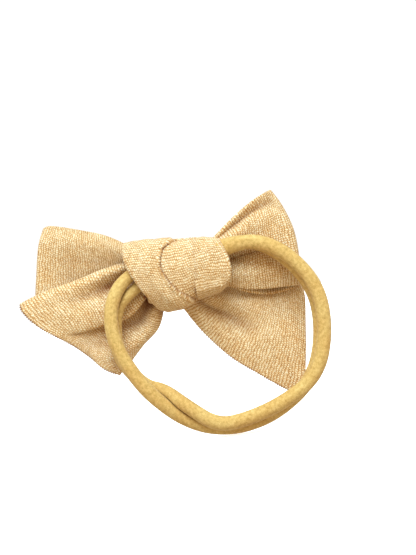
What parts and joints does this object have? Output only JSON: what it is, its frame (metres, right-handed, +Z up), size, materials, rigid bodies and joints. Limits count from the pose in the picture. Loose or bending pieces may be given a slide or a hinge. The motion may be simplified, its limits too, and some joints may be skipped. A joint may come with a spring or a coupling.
{
  "type": "hair bow",
  "caption": "Knitted fabric hair bow, tied in a knot round a doubled soft elastic band, with open loops and hanging tails that fold forward.",
  "frame": {"origin": "middle of the knot's back face, which rests on the head", "axes": "+X along the knot, +Z up as worn, -Y out of the back of the bow, towards the head"},
  "size_m": [0.1227, 0.0227, 0.0958],
  "materials": {
    "knit_fabric": "matte brushed knit",
    "nylon_band": "matte soft nylon",
    "sewing_thread": "matte thread"
  },
  "bodies": {
    "knot": {"knot_outer_turn": "knit_fabric", "knot_inner_turn": "knit_fabric", "knot_tucked_end": "knit_fabric", "gathered_waist": "knit_fabric", "band_in_knot_upper": "nylon_band", "band_in_knot_lower": "nylon_band", "band_join_stitching": "sewing_thread"},
    "left_tail": {"left_tail": "knit_fabric", "left_tail_edge_stitching": "sewing_thread"},
    "left_loop": {"left_loop": "knit_fabric"},
    "right_loop": {"right_loop": "knit_fabric"},
    "right_tail": {"right_tail": "knit_fabric", "right_tail_edge_stitching": "sewing_thread"},
    "band": {"band_strand_a": "nylon_band", "band_strand_b": "nylon_band"}
  },
  "joints": [
    {"name": "band_swing", "type": "hinge", "parent": "knot", "child": "band", "pos_m": [0.0022, 0.00725, 0.003], "axis": [-0.9664, -0.0319, -0.2551], "range_deg": [0, 115]},
    {"name": "left_tail_fold", "type": "hinge", "parent": "knot", "child": "left_tail", "pos_m": [-0.01615, 0.0174, 0.0008], "axis": [0.299, 0, -0.9542], "range_deg": [0, 45], "stiffness_Nm_per_rad": 0.004},
    {"name": "left_loop_fold", "type": "hinge", "parent": "left_tail", "child": "left_loop", "pos_m": [-0.01615, 0.0174, 0.0008], "axis": [0.299, 0, -0.9542], "range_deg": [0, 20], "stiffness_Nm_per_rad": 0.004},
    {"name": "right_loop_fold", "type": "hinge", "parent": "knot", "child": "right_loop", "pos_m": [0.0228, 0.0174, 0.001], "axis": [0, 0, 1], "range_deg": [0, 50], "stiffness_Nm_per_rad": 0.004},
    {"name": "right_tail_fold", "type": "hinge", "parent": "knot", "child": "right_tail", "pos_m": [0.01215, 0.0192, -0.014], "axis": [0.9796, 0, 0.2009], "range_deg": [0, 45], "stiffness_Nm_per_rad": 0.004}
  ]
}
